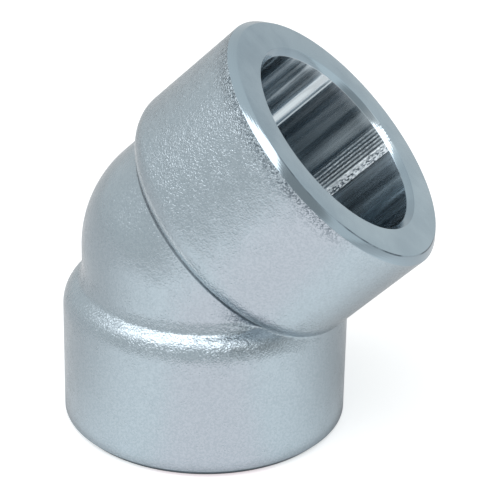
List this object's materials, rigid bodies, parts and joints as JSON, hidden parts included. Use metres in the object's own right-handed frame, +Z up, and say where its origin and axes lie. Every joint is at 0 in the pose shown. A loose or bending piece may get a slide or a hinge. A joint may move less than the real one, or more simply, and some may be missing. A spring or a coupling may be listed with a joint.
{
  "type": "socket weld forty-five degree elbow",
  "caption": "Forged steel pipe elbow that turns a line by forty-five degrees, with thick round collars and plain welding sockets at both ends.",
  "frame": {"origin": "centre of the lower end face, on the axis of the lower socket", "axes": "+Z up along the lower socket's axis towards the bend, +X the side to which the upper socket leans by forty-five degrees, Y across the plane that holds both axes and halves the part"},
  "size_m": [0.0501, 0.0388, 0.0556],
  "materials": {
    "forged_steel": "cleaned forging skin with an even fine grain, faces, chamfers and bores machined smooth"
  },
  "bodies": {
    "root": {"elbow_body": "forged_steel"}
  },
  "joints": []
}
